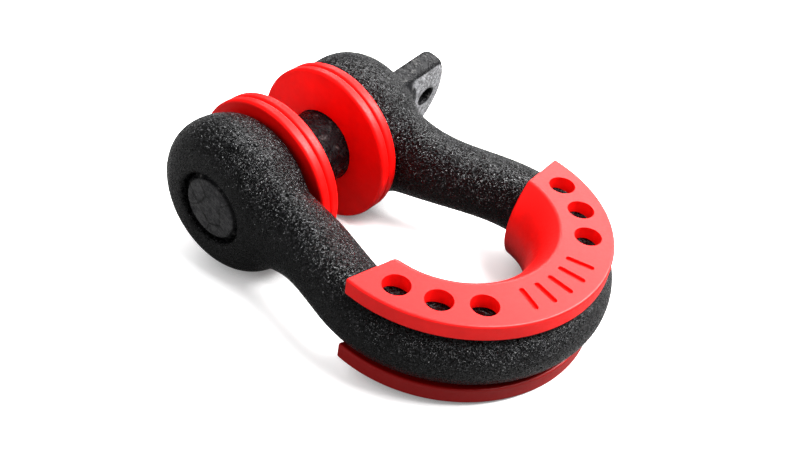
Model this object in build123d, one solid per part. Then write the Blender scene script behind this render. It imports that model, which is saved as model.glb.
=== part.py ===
"""Screw-pin bow shackle with a washer kit and a moulded bow isolator.

Millimetres, +Z up. The origin is on the load pin's axis, half way between the ears. +Y runs along the pin
towards its eye head and +X runs from the pin towards the crown of the bow. The pieces are drawn with the bow
in the XY plane, then all are tipped about the pin by the few degrees at which the shackle lies on level ground,
on the rims of its washers and the lower edge of its isolator.
"""
from build123d import *
from math import asin, atan2, cos, degrees, hypot, radians, sin, sqrt, tan
import os

# --- Driving dimensions -------------------------------------------------------------------------------------
JAW_WIDTH = 31.8                # clear width between the ears
EAR_THICKNESS = 19.8            # each ear, along the pin
EAR_RADIUS = 23.2               # widest radius of an ear about the pin axis
EAR_OUTER_FACE_RADIUS = 13.8    # flat round the bore on the outside of an ear
EAR_INNER_FACE_RADIUS = 18.4    # flat round the bore on the jaw side of an ear
STOCK_RADIUS = 9.85             # round section of the bow
BOW_RADIUS = 33.5               # centreline of the bow
BOW_CENTRE_X = 57.0             # centre of the bow's half circle

PIN_RADIUS = 11.1               # plain shank
THREAD_RADIUS = 10.5            # crest of the thread at the far end of the pin
THREAD_DEPTH = 1.3
THREAD_PITCH = 2.8
THREAD_CLEARANCE = 0.2          # radial, thread crest to the bore it screws into
PIN_CLEARANCE = 0.3             # radial, shank to the plain bore
BORE_CHAMFER = 0.5
PIN_END_RADIUS = 8.5            # flat on the end of the thread, inside its chamfer
PIN_END_CHAMFER_LENGTH = 1.9
PIN_END_SETBACK = 0.4           # the thread's end stands this far inside the ear's face

COLLAR_RADIUS = 11.9            # shoulder that stops the pin at the outer face of the plain ear
COLLAR_LENGTH = 3.0
HEAD_LENGTH = 29.2              # from the ear's face to the tip of the eye head
HEAD_HALF_WIDTH = 14.2          # eye head, across its flats' plane
HEAD_TIP_RADIUS = 20.4          # broad arc that ends it
HEAD_CORNER_ROUND = 3.0         # where its sides meet that arc
HEAD_HALF_THICKNESS = 3.8       # eye head, between its flats
HEAD_EYE_RADIUS = 3.0
HEAD_EYE_FROM_TIP = 8.7
HEAD_EDGE_ROUND = 2.0
HEAD_TURN = 100.0               # normal of the flats, degrees from +Z towards +X

WASHER_RADIUS = 24.0
WASHER_THICKNESS = 3.2
WASHER_EDGE_ROUND = 0.9
WASHER_CLEARANCE = 0.2          # radial, washer to shank
FACE_GAP = 0.05                 # between the faces of stacked pieces that can turn or slide

ISOLATOR_HALF_HEIGHT = 13.6     # flat outer face of each flange, above and below the plane of the bow
ISOLATOR_OUTER_RADIUS = 40.6    # outer edge of the flanges, about the centre of the bow
FLANGE_EDGE_THICKNESS = 5.0
WALL_TOP_RADIUS = 26.3          # where the inner wall meets the flange face
WALL_MIDDLE_RADIUS = 19.4       # inner wall at the plane of the bow, where it bulges furthest inwards
ISOLATOR_GAP = 0.12             # rubber to bow, so that the two solids stay apart
ISOLATOR_TURN = -6.1            # the isolator has been slid this many degrees round the bow
ISOLATOR_END_SETBACK = 1.5      # its ends, at the wall's rims, stand this far past the centre of the bow
ISOLATOR_END_FLARE = 7.5        # and they lean this many degrees, so that the flanges' outer edges are longer
HOLE_RADIUS = 3.65
HOLE_ANGLES = (37.7, 56.4, 75.0)
EDGE_ROUND = 0.6                # moulded edges of the isolator
WALL_EDGE_ROUND = 1.3           # rim where its inner wall meets the flanges
MARK_ANGLES = (-18, -9, 0, 9, 18)   # plain bars engraved in the upper flange
MARK_LENGTH = 7.6
MARK_WIDTH = 1.5
MARK_DEPTH = 0.8
MARK_RADIUS = 33.2              # middle of the bars, from the bow's centre

# --- Derived places -----------------------------------------------------------------------------------------
EAR_INNER_Y = JAW_WIDTH / 2
EAR_OUTER_Y = EAR_INNER_Y + EAR_THICKNESS
EAR_MIDDLE_Y = EAR_INNER_Y + EAR_THICKNESS / 2
THREAD_BORE_RADIUS = THREAD_RADIUS + THREAD_CLEARANCE
PLAIN_BORE_RADIUS = PIN_RADIUS + PIN_CLEARANCE

# Lying on level ground, the washers' rims and the rounded lower edge of the isolator are equally low
EDGE_CENTRE_X = BOW_CENTRE_X + ISOLATOR_OUTER_RADIUS - EDGE_ROUND
EDGE_CENTRE_Z = ISOLATOR_HALF_HEIGHT - EDGE_ROUND
EDGE_DROP = WASHER_RADIUS - EDGE_ROUND
LYING_TILT = degrees(asin(EDGE_DROP / hypot(EDGE_CENTRE_X, EDGE_CENTRE_Z)) - atan2(EDGE_CENTRE_Z, EDGE_CENTRE_X))

# Leg of the bow from inside the ear to the start of the half circle: (x, y, half width, half height)
LEG_STATIONS = (
    (2.0, EAR_MIDDLE_Y, 8.6, 12.0),
    (13.0, EAR_MIDDLE_Y, 9.3, 15.8),
    (19.0, EAR_MIDDLE_Y, 9.6, 14.0),
    (25.0, 26.0, 9.7, 12.3),
    (31.0, 26.9, 9.8, 11.0),
    (38.0, 28.8, 9.85, 10.2),
    (46.0, 31.4, 9.85, 9.9),
    (52.0, 32.9, 9.85, 9.85),
    (BOW_CENTRE_X, BOW_RADIUS, STOCK_RADIUS, STOCK_RADIUS),
)


def axis_along_y(y=0.0):
    """Plane through (0, y, 0) whose normal is +Y, with its own x along +X."""
    return Plane(origin=(0, y, 0), x_dir=(1, 0, 0), z_dir=(0, 1, 0))


def rod_y(radius, y_from, y_to):
    """Cylinder on the pin axis."""
    return extrude(axis_along_y(y_from) * Circle(radius), y_to - y_from)


def revolve_about_pin(profile):
    """Solid of revolution about the pin axis, from a face in the XY plane."""
    return revolve(profile, Axis.Y, 360)


def ear(side):
    """One ear: a forged boss that is flat round its bore on both faces and fully rounded outside."""
    outer_y = side * EAR_OUTER_Y
    middle_y = side * EAR_MIDDLE_Y
    inner_y = side * EAR_INNER_Y
    outer_bulge = EAR_RADIUS - EAR_OUTER_FACE_RADIUS
    inner_bulge = EAR_RADIUS - EAR_INNER_FACE_RADIUS
    slant = sqrt(0.5)
    half_thickness = EAR_THICKNESS / 2
    outer_knee = (EAR_OUTER_FACE_RADIUS + outer_bulge * slant, middle_y + side * half_thickness * slant)
    inner_knee = (EAR_INNER_FACE_RADIUS + inner_bulge * slant, middle_y - side * half_thickness * slant)
    with BuildSketch() as sketch:
        with BuildLine():
            Line((0, inner_y), (0, outer_y))
            Line((0, outer_y), (EAR_OUTER_FACE_RADIUS, outer_y))
            Spline(
                (EAR_OUTER_FACE_RADIUS, outer_y), outer_knee, (EAR_RADIUS, middle_y),
                tangents=((1, 0), (0, -side)),
            )
            Spline(
                (EAR_RADIUS, middle_y), inner_knee, (EAR_INNER_FACE_RADIUS, inner_y),
                tangents=((0, -side), (-1, 0)),
            )
            Line((EAR_INNER_FACE_RADIUS, inner_y), (0, inner_y))
        make_face()
    return revolve_about_pin(sketch.sketch)


def leg_section(index, side):
    """Elliptical section of a leg, square to its path."""
    x, y, half_width, half_height = LEG_STATIONS[index]
    before = LEG_STATIONS[max(index - 1, 0)]
    after = LEG_STATIONS[min(index + 1, len(LEG_STATIONS) - 1)]
    heading = Vector(after[0] - before[0], side * (after[1] - before[1]), 0)
    if index in (0, len(LEG_STATIONS) - 1):
        heading = Vector(1, 0, 0)
    across = Vector(0, 0, 1).cross(heading)
    plane = Plane(origin=(x, side * y, 0), x_dir=across, z_dir=heading)
    return plane * Ellipse(half_width, half_height)


def leg(side):
    sections = [leg_section(index, side) for index in range(len(LEG_STATIONS))]
    return loft(sections)


def half_ring():
    """The crown: half a turn of round bar about the bow's centre."""
    start = Plane(origin=(BOW_CENTRE_X, -BOW_RADIUS, 0), x_dir=(0, 1, 0), z_dir=(1, 0, 0))
    turn_axis = Axis((BOW_CENTRE_X, 0, 0), (0, 0, 1))
    return revolve(start * Circle(STOCK_RADIUS), turn_axis, 180)


def bore(radius, side):
    """Through hole in one ear, with a chamfered mouth at each face."""
    inner_y = side * EAR_INNER_Y
    outer_y = side * EAR_OUTER_Y
    low, high = min(inner_y, outer_y), max(inner_y, outer_y)
    with BuildSketch() as sketch:
        with BuildLine():
            Polyline(
                (0, low - 1), (radius + BORE_CHAMFER + 1, low - 1), (radius, low + BORE_CHAMFER),
                (radius, high - BORE_CHAMFER), (radius + BORE_CHAMFER + 1, high + 1), (0, high + 1),
                close=True,
            )
        make_face()
    return revolve_about_pin(sketch.sketch)


def make_bow():
    body = half_ring() + leg(1) + leg(-1) + ear(1) + ear(-1)
    jaw = Box(2 * EAR_RADIUS + 4, JAW_WIDTH, 2 * EAR_RADIUS + 4)
    body = body - jaw
    return body - bore(THREAD_BORE_RADIUS, -1) - bore(PLAIN_BORE_RADIUS, 1)


def thread_groove():
    """Helical V groove that leaves a single-start thread on the end of the pin."""
    start_y = -EAR_OUTER_Y - THREAD_PITCH
    length = EAR_THICKNESS + THREAD_PITCH
    path = axis_along_y(start_y) * Helix(pitch=THREAD_PITCH, height=length, radius=THREAD_RADIUS)
    half_mouth = THREAD_PITCH * 0.44
    half_root = THREAD_PITCH * 0.08
    start = path @ 0
    outward = Vector(start.X, 0, start.Z).normalized()
    plane = Plane(origin=start, x_dir=outward, z_dir=path % 0)
    overshoot = 0.4
    section = plane * Polygon(
        (overshoot, half_mouth * 1.2), (-THREAD_DEPTH, half_root), (-THREAD_DEPTH, -half_root),
        (overshoot, -half_mouth * 1.2), align=None,
    )
    return sweep(section, path=path, binormal=Vector(0, 1, 0))


def eye_head():
    """Flattened eye head: a paddle that fans out of the round shank, with a broad rounded tip."""
    root_y = EAR_OUTER_Y + COLLAR_LENGTH - 0.5
    tip_y = EAR_OUTER_Y + HEAD_LENGTH
    shoulder_y = tip_y - HEAD_TIP_RADIUS + sqrt(HEAD_TIP_RADIUS**2 - HEAD_HALF_WIDTH**2)
    root_half_width = 11.4
    with BuildSketch(Plane.XY) as outline:
        with BuildLine():
            Line((-root_half_width, root_y), (root_half_width, root_y))
            Line((root_half_width, root_y), (HEAD_HALF_WIDTH, shoulder_y))
            ThreePointArc((HEAD_HALF_WIDTH, shoulder_y), (0, tip_y), (-HEAD_HALF_WIDTH, shoulder_y))
            Line((-HEAD_HALF_WIDTH, shoulder_y), (-root_half_width, root_y))
        make_face()
        corners = [v for v in outline.vertices() if v.Y > root_y + 1]
        fillet(corners, HEAD_CORNER_ROUND)
    paddle = extrude(outline.sketch, HEAD_HALF_THICKNESS, both=True)
    paddle = fillet(paddle.edges(), HEAD_EDGE_ROUND)
    neck_sections = (
        axis_along_y(EAR_OUTER_Y + COLLAR_LENGTH - 0.5) * Ellipse(11.3, 9.8),
        axis_along_y(EAR_OUTER_Y + COLLAR_LENGTH + 4.5) * Ellipse(11.6, 7.6),
        axis_along_y(EAR_OUTER_Y + COLLAR_LENGTH + 10.0) * Ellipse(11.0, 4.6),
        axis_along_y(EAR_OUTER_Y + COLLAR_LENGTH + 13.0) * Ellipse(9.5, 3.0),
    )
    head = paddle + loft(neck_sections)
    eye_y = tip_y - HEAD_EYE_FROM_TIP
    eye = Pos(0, eye_y, 0) * Cylinder(HEAD_EYE_RADIUS, 4 * HEAD_HALF_THICKNESS)
    return Rot(0, HEAD_TURN, 0) * (head - eye)


def make_screw_pin():
    end_y = -EAR_OUTER_Y + PIN_END_SETBACK
    thread_end_y = -EAR_INNER_Y - 0.6
    shank_end_y = EAR_OUTER_Y + COLLAR_LENGTH / 2
    with BuildSketch() as sketch:
        with BuildLine():
            Polyline(
                (0, end_y), (PIN_END_RADIUS, end_y), (THREAD_RADIUS, end_y + PIN_END_CHAMFER_LENGTH),
                (THREAD_RADIUS, thread_end_y), (PIN_RADIUS, thread_end_y + 0.6),
                (PIN_RADIUS, shank_end_y), (0, shank_end_y), close=True,
            )
        make_face()
    shank = revolve_about_pin(sketch.sketch)
    return shank - thread_groove() + collar() + eye_head()


def collar():
    """Shoulder between the shank and the eye head, rounded on its outer rim."""
    disc = rod_y(COLLAR_RADIUS, EAR_OUTER_Y + FACE_GAP, EAR_OUTER_Y + COLLAR_LENGTH)
    outer_rim = disc.edges().filter_by(GeomType.CIRCLE).sort_by(Axis.Y)[-1]
    return fillet(outer_rim, 1.2)


def washer(inner_y):
    """Moulded washer between inner_y and inner_y + WASHER_THICKNESS, rounded on both rims."""
    disc = rod_y(WASHER_RADIUS, inner_y, inner_y + WASHER_THICKNESS)
    disc = fillet(disc.edges().filter_by(GeomType.CIRCLE), WASHER_EDGE_ROUND)
    return disc - rod_y(PIN_RADIUS + WASHER_CLEARANCE, inner_y - 1, inner_y + WASHER_THICKNESS + 1)


def isolator_section():
    """Channel section in the (radius, height) plane of the bow, as a face in the XZ plane."""
    channel_radius = STOCK_RADIUS + ISOLATOR_GAP
    lip_z = ISOLATOR_HALF_HEIGHT - FLANGE_EDGE_THICKNESS
    outer = ISOLATOR_OUTER_RADIUS
    top = ISOLATOR_HALF_HEIGHT
    touch_angle = radians(78)
    touch_r = BOW_RADIUS + channel_radius * cos(touch_angle)
    touch_z = channel_radius * sin(touch_angle)
    with BuildSketch(Plane.XZ) as sketch:
        with BuildLine():
            Line((WALL_TOP_RADIUS, top), (outer, top))
            Line((outer, top), (outer, lip_z))
            Line((outer, lip_z), (touch_r, touch_z))
            ThreePointArc((touch_r, touch_z), (BOW_RADIUS - channel_radius, 0), (touch_r, -touch_z))
            Line((touch_r, -touch_z), (outer, -lip_z))
            Line((outer, -lip_z), (outer, -top))
            Line((outer, -top), (WALL_TOP_RADIUS, -top))
            ThreePointArc((WALL_TOP_RADIUS, -top), (WALL_MIDDLE_RADIUS, 0), (WALL_TOP_RADIUS, top))
        make_face()
    return sketch.sketch


def isolator_end_cutter(side):
    """Wedge that trims one end of the isolator to its leaning plane."""
    reach = 60
    lean = tan(radians(ISOLATOR_END_FLARE))
    outline = Polygon(
        (-reach, 0), (ISOLATOR_END_SETBACK + WALL_TOP_RADIUS * lean, 0),
        (ISOLATOR_END_SETBACK - (reach - WALL_TOP_RADIUS) * lean, side * reach), (-reach, side * reach),
        align=None,
    )
    return extrude(outline, reach, both=True)


def make_isolator():
    """C-section rubber moulding round the crown of the bow, with holes through both flanges."""
    sweep_angle = 190
    body = Rot(0, 0, -sweep_angle / 2) * revolve(isolator_section(), Axis.Z, sweep_angle)
    body = body - isolator_end_cutter(1) - isolator_end_cutter(-1)
    circles = body.edges().filter_by(GeomType.CIRCLE)
    wall_rims = circles.filter_by(lambda edge: abs(edge.radius - WALL_TOP_RADIUS) < 0.01)
    body = fillet(wall_rims, WALL_EDGE_ROUND)
    body = fillet(body.edges(), EDGE_ROUND)
    for angle in HOLE_ANGLES:
        for side in (1, -1):
            turn = radians(side * angle)
            place = Pos(BOW_RADIUS * cos(turn), BOW_RADIUS * sin(turn), 0)
            body = body - place * Cylinder(HOLE_RADIUS, 4 * ISOLATOR_HALF_HEIGHT)
    body = body - engraved_bars()
    return Pos(BOW_CENTRE_X, 0, 0) * Rot(0, 0, ISOLATOR_TURN) * body


def engraved_bars():
    """Shallow radial bars with rounded ends, cut in the upper flange."""
    bar = Pos(MARK_RADIUS, 0, 0) * SlotOverall(MARK_LENGTH, MARK_WIDTH)
    cutter = extrude(Pos(0, 0, ISOLATOR_HALF_HEIGHT - MARK_DEPTH) * bar, 2 * MARK_DEPTH)
    return [Rot(0, 0, angle) * cutter for angle in MARK_ANGLES]


def make_parts():
    outer_face = EAR_INNER_Y - FACE_GAP - WASHER_THICKNESS
    inner_face = outer_face - FACE_GAP - WASHER_THICKNESS
    return {
        "bow": make_bow(),
        "screw_pin": make_screw_pin(),
        "washer_head_outer": washer(outer_face),
        "washer_head_inner": washer(inner_face),
        "washer_thread_outer": washer(-outer_face - WASHER_THICKNESS),
        "washer_thread_inner": washer(-inner_face - WASHER_THICKNESS),
        "isolator": make_isolator(),
    }


os.makedirs("parts", exist_ok=True)
for node, upright in make_parts().items():
    solid = Rot(0, LYING_TILT, 0) * upright
    solid.label = node
    export_step(solid, f"parts/{node}.step")
    print(node, round(solid.volume), "mm3", len(solid.solids()), "solid(s)")
print("tipped", round(LYING_TILT, 3), "degrees")
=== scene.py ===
"""Looks for the screw-pin bow shackle: coated steel, red moulded washers and isolator, on a white floor."""

import bpy
import numpy as np
from mathutils import Matrix, Vector


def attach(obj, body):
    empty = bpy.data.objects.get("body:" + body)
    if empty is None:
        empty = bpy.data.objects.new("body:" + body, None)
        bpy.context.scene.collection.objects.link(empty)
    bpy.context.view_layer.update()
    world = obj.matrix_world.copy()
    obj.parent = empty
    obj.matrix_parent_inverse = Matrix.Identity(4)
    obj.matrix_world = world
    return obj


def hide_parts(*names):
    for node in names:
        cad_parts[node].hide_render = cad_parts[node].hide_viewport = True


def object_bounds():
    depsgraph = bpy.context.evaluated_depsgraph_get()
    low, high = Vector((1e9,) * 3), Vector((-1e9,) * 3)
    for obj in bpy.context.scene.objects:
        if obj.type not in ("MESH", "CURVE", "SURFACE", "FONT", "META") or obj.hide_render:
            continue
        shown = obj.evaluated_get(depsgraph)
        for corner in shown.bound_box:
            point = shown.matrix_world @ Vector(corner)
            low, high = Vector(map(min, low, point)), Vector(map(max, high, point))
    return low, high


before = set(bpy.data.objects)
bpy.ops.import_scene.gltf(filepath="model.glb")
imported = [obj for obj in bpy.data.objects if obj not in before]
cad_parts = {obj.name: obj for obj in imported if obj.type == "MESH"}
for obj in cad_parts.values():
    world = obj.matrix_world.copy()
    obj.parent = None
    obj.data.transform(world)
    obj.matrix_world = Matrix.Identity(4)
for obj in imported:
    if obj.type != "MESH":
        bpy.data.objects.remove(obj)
cad_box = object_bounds()
FLOOR_Z = cad_box[0].z

# Places on the part. The origin is on the pin's axis, +Y runs along the pin towards its eye head.
MM = 0.001
PIN_BORE_R = 11.4 * MM
EAR_INNER_Y = 15.9 * MM
JAW_FLAT_R = 17.5 * MM                  # just inside the rim of the flat that each ear has on the jaw side
EAR_R = 24.0 * MM                       # just outside the ears: only the bar lies further from the axis
PIN_END_Y = -35.3 * MM
HEAD_FROM_Y = 39.5 * MM
HEAD_FLATS_Y = 44.0 * MM
FLAT_NORMAL = (0.9603, 0.0, -0.2790)    # normal of the eye head's flats
BOW_NORMAL = (0.108, 0.0, 0.994)        # normal of the plane that the bow lies in

# Remeshing and smoothing of the two forgings.
BOW_VOXEL = 0.55 * MM
BOW_SMOOTH_PASSES = 46
PIN_VOXEL = 0.34 * MM
HEAD_SMOOTH_PASSES = 24
SMOOTH_STEP = 0.6                       # how far a vertex goes towards its neighbours' mean in a pass

# Studio. Places and lengths are in metres, and the lens is in millimetres.
FLOOR_HALF = 3.0
FLOOR_GLOW = 0.42                       # the floor's own light near the part, as the camera sees it
FAR_FLOOR = (0.35, 1.2)                 # between these distances from the part it rises to full white
FLOOR_BOUNCE = (0.20, 0.20, 0.20)       # the floor's colour for every ray but the camera's
SHADOW_REACH = 15.0 * MM                # a painted contact shadow darkens the floor this close to the part
WORLD_ON_OBJECT = 0.24                  # strength of the white surround for every ray but the camera's
LIGHT_TARGET = (0.03, 0.0, 0.0)
CAMERA_PLACE = (0.170632, -0.173820, 0.154000)
CAMERA_BACK = (0.48868, -0.64190, 0.59087)
CAMERA_UP = (-0.39446, 0.44150, 0.80592)
CAMERA_LENS = 43.69
VIEW_GAMMA = 0.87


# --- Node helpers -------------------------------------------------------------------------------------------
class Nodes:
    """A thin layer over one material's node tree."""

    def __init__(self, name):
        self.material = bpy.data.materials.new(name)
        self.material.use_nodes = True
        self.tree = self.material.node_tree
        self.bsdf = self.tree.nodes["Principled BSDF"]
        places = self.add("ShaderNodeTexCoord")
        self.coords = places.outputs["Object"]
        self.normal = places.outputs["Normal"]

    def add(self, kind, **settings):
        node = self.tree.nodes.new(kind)
        for key, value in settings.items():
            setattr(node, key, value)
        return node

    def join(self, source, target):
        self.tree.links.new(source, target)

    def feed(self, socket, value):
        """Link an output, or set a plain value."""
        if isinstance(value, bpy.types.NodeSocket):
            self.join(value, socket)
        else:
            socket.default_value = value

    def noise(self, size, detail, rough=0.55):
        """Noise whose features are about size metres across."""
        node = self.add("ShaderNodeTexNoise")
        self.join(self.coords, node.inputs["Vector"])
        node.inputs["Scale"].default_value = 1.0 / size
        node.inputs["Detail"].default_value = detail
        node.inputs["Roughness"].default_value = rough
        return node.outputs["Fac"]

    def grains(self, size):
        """Grains about size metres apart: a value of its own for each, and a random lean."""
        node = self.add("ShaderNodeTexVoronoi")
        self.join(self.coords, node.inputs["Vector"])
        node.inputs["Scale"].default_value = 1.0 / size
        channels = self.add("ShaderNodeSeparateColor")
        self.join(node.outputs["Color"], channels.inputs["Color"])
        lean = self.add("ShaderNodeVectorMath", operation="SUBTRACT")
        self.join(node.outputs["Color"], lean.inputs[0])
        lean.inputs[1].default_value = (0.5, 0.5, 0.5)
        return channels.outputs["Red"], lean.outputs["Vector"]

    def tilt(self, normal, lean, amount):
        """Normal leant over by a vector."""
        scaled = self.add("ShaderNodeVectorMath", operation="SCALE")
        self.join(lean, scaled.inputs[0])
        scaled.inputs["Scale"].default_value = amount
        total = self.add("ShaderNodeVectorMath", operation="ADD")
        self.join(normal, total.inputs[0])
        self.join(scaled.outputs["Vector"], total.inputs[1])
        unit = self.add("ShaderNodeVectorMath", operation="NORMALIZE")
        self.join(total.outputs["Vector"], unit.inputs[0])
        return unit.outputs["Vector"]

    def along(self, vector, direction):
        """How far a vector reaches in a direction."""
        node = self.add("ShaderNodeVectorMath", operation="DOT_PRODUCT")
        self.join(vector, node.inputs[0])
        node.inputs[1].default_value = direction
        return node.outputs["Value"]

    def ramp(self, factor, stops):
        """Colour that runs through the stops as the factor rises."""
        node = self.add("ShaderNodeValToRGB")
        elements = node.color_ramp.elements
        while len(elements) < len(stops):
            elements.new(0.5)
        for element, (place, colour) in zip(elements, stops):
            element.position = place
            element.color = (*colour, 1.0)
        self.join(factor, node.inputs["Fac"])
        return node.outputs["Color"]

    def remap(self, value, low, high, to_low, to_high):
        """The stretch from low to high, carried over to another one and held at its ends."""
        node = self.add("ShaderNodeMapRange")
        self.join(value, node.inputs["Value"])
        ends = {"From Min": low, "From Max": high, "To Min": to_low, "To Max": to_high}
        for socket, number in ends.items():
            node.inputs[socket].default_value = number
        return node.outputs["Result"]

    def math(self, operation, *values):
        node = self.add("ShaderNodeMath", operation=operation)
        for socket, value in zip(node.inputs, values):
            self.feed(socket, value)
        return node.outputs[0]

    def mix(self, factor, a, b):
        node = self.add("ShaderNodeMix", data_type="RGBA")
        self.feed(node.inputs["Factor"], factor)
        for socket, value in ((node.inputs["A"], a), (node.inputs["B"], b)):
            self.feed(socket, (*value, 1.0) if isinstance(value, tuple) else value)
        return node.outputs["Result"]

    def bump(self, height, distance, normal=None):
        """Relief of a height over the plain surface, or over a normal that has relief already."""
        node = self.add("ShaderNodeBump")
        node.inputs["Strength"].default_value = 1.0
        node.inputs["Distance"].default_value = distance
        self.join(height, node.inputs["Height"])
        if normal is not None:
            self.join(normal, node.inputs["Normal"])
        return node.outputs["Normal"]

    def finish(self, **sockets):
        """Fill the surface shader's sockets, whose names are written with _ for a space."""
        for name, value in sockets.items():
            self.feed(self.bsdf.inputs[name.replace("_", " ")], value)
        return self.material


# --- Materials ----------------------------------------------------------------------------------------------
def powder_coat():
    """Black textured powder coat: every grain is a small glossy facet, on a slightly uneven forging."""
    n = Nodes("powder_coat_black")
    tone, lean = n.grains(0.31 * MM)
    grain = n.noise(0.8 * MM, detail=3.0, rough=0.7)
    waves = n.noise(7.0 * MM, detail=2.0)
    colour = n.ramp(tone, ((0.50, (0.0006, 0.0006, 0.0008)), (0.80, (0.006, 0.006, 0.0065)),
                           (1.0, (0.045, 0.045, 0.048))))
    rough = n.remap(tone, 0.2, 1.0, 0.30, 0.10)
    normal = n.bump(waves, 0.25 * MM)
    normal = n.bump(grain, 0.50 * MM, normal)
    normal = n.tilt(normal, lean, 1.35)
    return n.finish(Base_Color=colour, Roughness=rough, Normal=normal, Specular_IOR_Level=0.30)


def coated_pin():
    """Rough glossy black coat over a forged pin, with a painted highlight of light grey on the head's flats,
    and finely cracked on the end.
    """
    n = Nodes("pin_black")
    lumps = n.noise(2.0 * MM, detail=4.0, rough=0.68)
    grain = n.noise(0.7 * MM, detail=2.0)
    y = n.along(n.coords, (0.0, 1.0, 0.0))

    cracks = n.add("ShaderNodeTexVoronoi", feature="DISTANCE_TO_EDGE")
    n.join(n.coords, cracks.inputs["Vector"])
    cracks.inputs["Scale"].default_value = 1.0 / (8.0 * MM)
    ragged = n.math("ADD", cracks.outputs["Distance"], n.math("MULTIPLY", lumps, 0.10))
    line = n.remap(ragged, 0.05, 0.09, 1.0, 0.0)
    on_end = n.remap(y, PIN_END_Y + 0.1 * MM, PIN_END_Y + 0.4 * MM, 1.0, 0.0)
    end = n.ramp(lumps, ((0.35, (0.018, 0.018, 0.020)), (0.65, (0.075, 0.074, 0.075))))
    end = n.mix(line, end, (0.006, 0.006, 0.006))

    # painted highlight: faces turned like the head's flats are coloured light grey, standing for light
    # reflected off them
    facing = n.remap(n.math("ABSOLUTE", n.along(n.normal, FLAT_NORMAL)), 0.90, 0.98, 0.0, 1.0)
    highlight_on_flats = n.math("MULTIPLY", facing, n.remap(y, HEAD_FLATS_Y, HEAD_FLATS_Y + 3.0 * MM, 0.0, 1.0))
    flats_highlight = n.ramp(lumps, ((0.35, (0.18, 0.18, 0.185)), (0.52, (0.30, 0.30, 0.31)),
                          (0.68, (0.46, 0.46, 0.48))))

    coat = n.ramp(lumps, ((0.46, (0.003, 0.003, 0.004)), (0.58, (0.010, 0.010, 0.011)),
                          (0.68, (0.120, 0.116, 0.112))))
    colour = n.mix(highlight_on_flats, n.mix(on_end, coat, end), flats_highlight)
    rough = n.remap(lumps, 0.35, 0.7, 0.18, 0.38)
    relief = n.math("MULTIPLY", lumps, n.remap(on_end, 0.0, 1.0, 1.0, 0.15))
    normal = n.bump(relief, 1.10 * MM)
    normal = n.bump(grain, 0.20 * MM, normal)
    return n.finish(Base_Color=colour, Roughness=rough, Normal=normal, Specular_IOR_Level=0.22)


def red_rubber(name, base, mottling, specular, underside_shade=1.0):
    """Moulded red elastomer: satin, with a faint mould grain and slight clouding of the colour.

    With a shade factor under 1 the colour deepens by that factor towards the underside of the bow's plane:
    painted shade, as if that side lay in the bow's shadow.
    """
    n = Nodes(name)
    cloud = n.noise(9.0 * MM, detail=3.0)
    skin = n.noise(0.9 * MM, detail=2.0)
    dark = tuple(c * (1.0 - mottling) for c in base)
    light = tuple(min(1.0, c * (1.0 + mottling)) for c in base)
    colour = n.ramp(cloud, ((0.35, dark), (0.65, light)))
    if underside_shade < 1.0:
        # painted shade: the colour darkens below the bow's plane as if that side lay in the bow's own shadow
        painted_shade = n.remap(n.along(n.coords, BOW_NORMAL), -9.0 * MM, 3.0 * MM, 1.0, 0.0)
        colour = n.mix(painted_shade, colour, tuple(c * underside_shade for c in base))
    rough = n.remap(skin, 0.35, 0.65, 0.40, 0.50)
    normal = n.bump(cloud, 0.05 * MM)
    normal = n.bump(skin, 0.018 * MM, normal)
    return n.finish(Base_Color=colour, Roughness=rough, Normal=normal, Specular_IOR_Level=specular)


def white_floor():
    """Over-lit white sweep with soft contact shadows painted into its colour and glow from ambient occlusion.
    Its bounce on the object is weaker than its look.
    """
    n = Nodes("studio_white")
    paper = n.noise(0.05, detail=2.0)
    seen = n.ramp(paper, ((0.3, (0.94, 0.94, 0.94)), (0.7, (0.96, 0.96, 0.96))))
    # painted contact shadow: ambient occlusion darkens the floor's colour and glow near the part
    contact_occlusion = n.add("ShaderNodeAmbientOcclusion", samples=8)
    contact_occlusion.inputs["Distance"].default_value = SHADOW_REACH
    painted_shadow_factor = n.remap(contact_occlusion.outputs["AO"], 0.10, 0.60, 0.40, 1.0)
    rays = n.add("ShaderNodeLightPath")
    shaded = n.mix(painted_shadow_factor, (0.0, 0.0, 0.0), seen)
    colour = n.mix(rays.outputs["Is Camera Ray"], FLOOR_BOUNCE, shaded)
    distance = n.add("ShaderNodeVectorMath", operation="LENGTH")
    n.join(n.coords, distance.inputs[0])
    glow = n.remap(distance.outputs["Value"], *FAR_FLOOR, FLOOR_GLOW, 1.0)
    glow = n.math("MULTIPLY", n.math("MULTIPLY", rays.outputs["Is Camera Ray"], glow), painted_shadow_factor)
    n.bsdf.inputs["Emission Color"].default_value = (1.0, 1.0, 1.0, 1.0)
    return n.finish(Base_Color=colour, Roughness=1.0, Specular_IOR_Level=0.0, Emission_Strength=glow)


# --- Meshes -------------------------------------------------------------------------------------------------
def remeshed(node, name, voxel):
    """Evenly spaced copy of a CAD node's mesh."""
    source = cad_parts[node]
    copy = bpy.data.objects.new(name + "_source", source.data.copy())
    bpy.context.scene.collection.objects.link(copy)
    weld = copy.modifiers.new("weld", "WELD")
    weld.merge_threshold = 0.001 * MM
    remesh = copy.modifiers.new("remesh", "REMESH")
    remesh.mode = "VOXEL"
    remesh.voxel_size = voxel
    depsgraph = bpy.context.evaluated_depsgraph_get()
    mesh = bpy.data.meshes.new_from_object(copy.evaluated_get(depsgraph))
    bpy.data.objects.remove(copy)
    mesh.name = name
    mesh.materials.clear()
    obj = bpy.data.objects.new(name, mesh)
    bpy.context.scene.collection.objects.link(obj)
    return obj


def vertex_array(mesh):
    """The mesh's vertices, one row each."""
    points = np.empty(len(mesh.vertices) * 3)
    mesh.vertices.foreach_get("co", points)
    return points.reshape(-1, 3)


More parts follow.
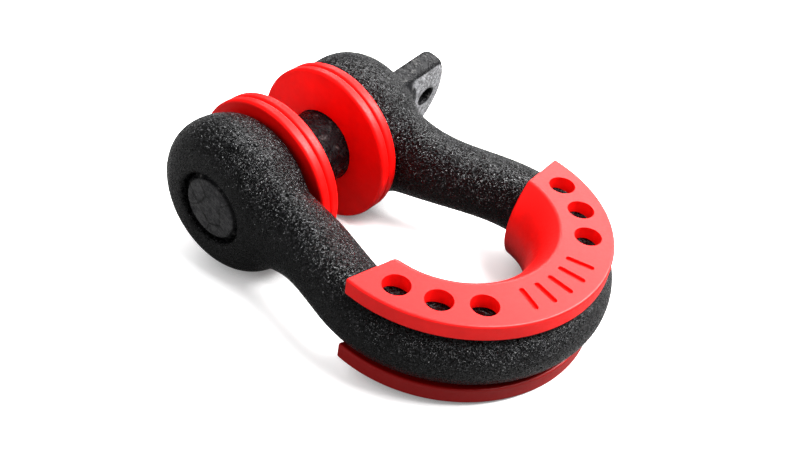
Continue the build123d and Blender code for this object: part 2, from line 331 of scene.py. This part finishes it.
def relax(mesh, points, weights, passes):
    """Laplacian smoothing, as far as each vertex's weight lets it move."""
    edges = np.empty(len(mesh.edges) * 2, np.int64)
    mesh.edges.foreach_get("vertices", edges)
    a, b = edges.reshape(-1, 2).T
    count = np.bincount(a, minlength=len(points)) + np.bincount(b, minlength=len(points))
    step = (SMOOTH_STEP * weights / np.maximum(count, 1))[:, None]
    for _ in range(passes):
        total = np.empty_like(points)
        for axis in range(3):
            total[:, axis] = (np.bincount(a, points[b, axis], len(points))
                              + np.bincount(b, points[a, axis], len(points)))
        points = points + step * (total - count[:, None] * points)
    return points


def ease(values, low, high):
    """A smooth step from 0 at low to 1 at high."""
    t = np.clip((values - low) / (high - low), 0.0, 1.0)
    return t * t * (3.0 - 2.0 * t)


def store(mesh, points):
    """Move the mesh's vertices to the points, and shade it smooth."""
    mesh.vertices.foreach_set("co", points.ravel())
    mesh.polygons.foreach_set("use_smooth", [True] * len(mesh.polygons))
    mesh.update()


def make_bow():
    """The forging: the CAD shape with its ears blended softly into the bar."""
    bow = remeshed("bow", "bow_forging", BOW_VOXEL)
    points = vertex_array(bow.data)
    from_pin = np.hypot(points[:, 0], points[:, 2])
    away_from_jaw = ease(np.abs(np.abs(points[:, 1]) - EAR_INNER_Y), 0.3 * MM, 1.6 * MM)
    off_jaw_face = np.maximum(away_from_jaw, ease(from_pin, JAW_FLAT_R, JAW_FLAT_R + 1.5 * MM))
    off_bore = ease(from_pin, PIN_BORE_R + 1.0 * MM, PIN_BORE_R + 4.0 * MM)
    weights = off_bore * np.where(from_pin < EAR_R, off_jaw_face, 1.0)
    points = relax(bow.data, points, weights, BOW_SMOOTH_PASSES)
    store(bow.data, points)
    bow.data.materials.append(powder_coat())
    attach(bow, "bow")
    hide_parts("bow")


def make_pin():
    """The pin: the CAD shape with the edges of its eye head softened as on a forging."""
    pin = remeshed("screw_pin", "pin_forging", PIN_VOXEL)
    points = vertex_array(pin.data)
    weights = ease(points[:, 1], HEAD_FROM_Y, HEAD_FROM_Y + 3.0 * MM)
    store(pin.data, relax(pin.data, points, weights, HEAD_SMOOTH_PASSES))
    pin.data.materials.append(coated_pin())
    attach(pin, "screw_pin")
    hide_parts("screw_pin")


def paint(node, material):
    """Give a CAD node's mesh a material."""
    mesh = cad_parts[node].data
    for index in range(len(mesh.materials)):
        mesh.materials[index] = material
    if not mesh.materials:
        mesh.materials.append(material)


# --- Stage --------------------------------------------------------------------------------------------------
def make_floor():
    """A square of floor at the height of the part's lowest point."""
    mesh = bpy.data.meshes.new("floor")
    corners = [(x * FLOOR_HALF, y * FLOOR_HALF, FLOOR_Z) for x, y in ((-1, -1), (1, -1), (1, 1), (-1, 1))]
    mesh.from_pydata(corners, [], [(0, 1, 2, 3)])
    mesh.materials.append(white_floor())
    floor = bpy.data.objects.new("floor", mesh)
    bpy.context.scene.collection.objects.link(floor)


def area_light(name, place, width, height, power):
    """A softbox that faces the part."""
    light = bpy.data.lights.new(name, "AREA")
    light.shape = "RECTANGLE"
    light.size = width
    light.size_y = height
    light.energy = power
    lamp = bpy.data.objects.new(name, light)
    lamp.location = place
    lamp.rotation_euler = (Vector(LIGHT_TARGET) - Vector(place)).to_track_quat("-Z", "Y").to_euler()
    bpy.context.scene.collection.objects.link(lamp)
    return lamp


def make_lights():
    """A white surround that lights the part weakly, softboxes behind and above it, and a fill in front."""
    world = bpy.data.worlds.new("studio")
    world.use_nodes = True
    tree = world.node_tree
    background = tree.nodes["Background"]
    rays = tree.nodes.new("ShaderNodeLightPath")
    level = tree.nodes.new("ShaderNodeMapRange")
    level.inputs["To Min"].default_value = WORLD_ON_OBJECT
    level.inputs["To Max"].default_value = 1.0
    tree.links.new(rays.outputs["Is Camera Ray"], level.inputs["Value"])
    tree.links.new(level.outputs["Result"], background.inputs["Strength"])
    background.inputs["Color"].default_value = (1.0, 1.0, 1.0, 1.0)
    bpy.context.scene.world = world
    area_light("back_softbox", (-0.05, 1.15, 0.70), 2.1, 0.8, 31.0)
    area_light("top_softbox", (0.60, 0.20, 1.02), 0.6, 0.6, 28.0)
    area_light("right_softbox", (0.58, 0.70, 0.70), 0.25, 0.25, 16.0)
    fill = area_light("front_fill", (-0.30, -1.00, 0.60), 0.8, 0.8, 6.5)
    fill.visible_glossy = False


def make_camera():
    """The camera, above the part, off its crown and its threaded end."""
    camera = bpy.data.cameras.new("camera")
    camera.sensor_width = 36.0
    camera.lens = CAMERA_LENS
    camera.clip_start = 0.01
    camera.clip_end = 20.0
    back = Vector(CAMERA_BACK).normalized()
    right = Vector(CAMERA_UP).cross(back).normalized()
    up = back.cross(right)
    rig = bpy.data.objects.new("camera", camera)
    turn = Matrix((right, up, back)).transposed().to_4x4()
    rig.matrix_world = Matrix.Translation(CAMERA_PLACE) @ turn
    bpy.context.scene.collection.objects.link(rig)
    bpy.context.scene.camera = rig


make_camera()
make_bow()
washer_red = red_rubber("red_polyurethane", (0.85, 0.004, 0.003), mottling=0.06, specular=0.28)
for washer in ("washer_thread_outer", "washer_thread_inner", "washer_head_outer", "washer_head_inner"):
    paint(washer, washer_red)
# the isolator's side below the bow's plane is darkened by painted shade
isolator_red = red_rubber("red_rubber", (0.85, 0.006, 0.005), mottling=0.07, specular=0.48, underside_shade=0.38)
paint("isolator", isolator_red)
make_pin()
make_floor()
make_lights()
bpy.context.scene.view_settings.view_transform = "Standard"
bpy.context.scene.view_settings.gamma = VIEW_GAMMA
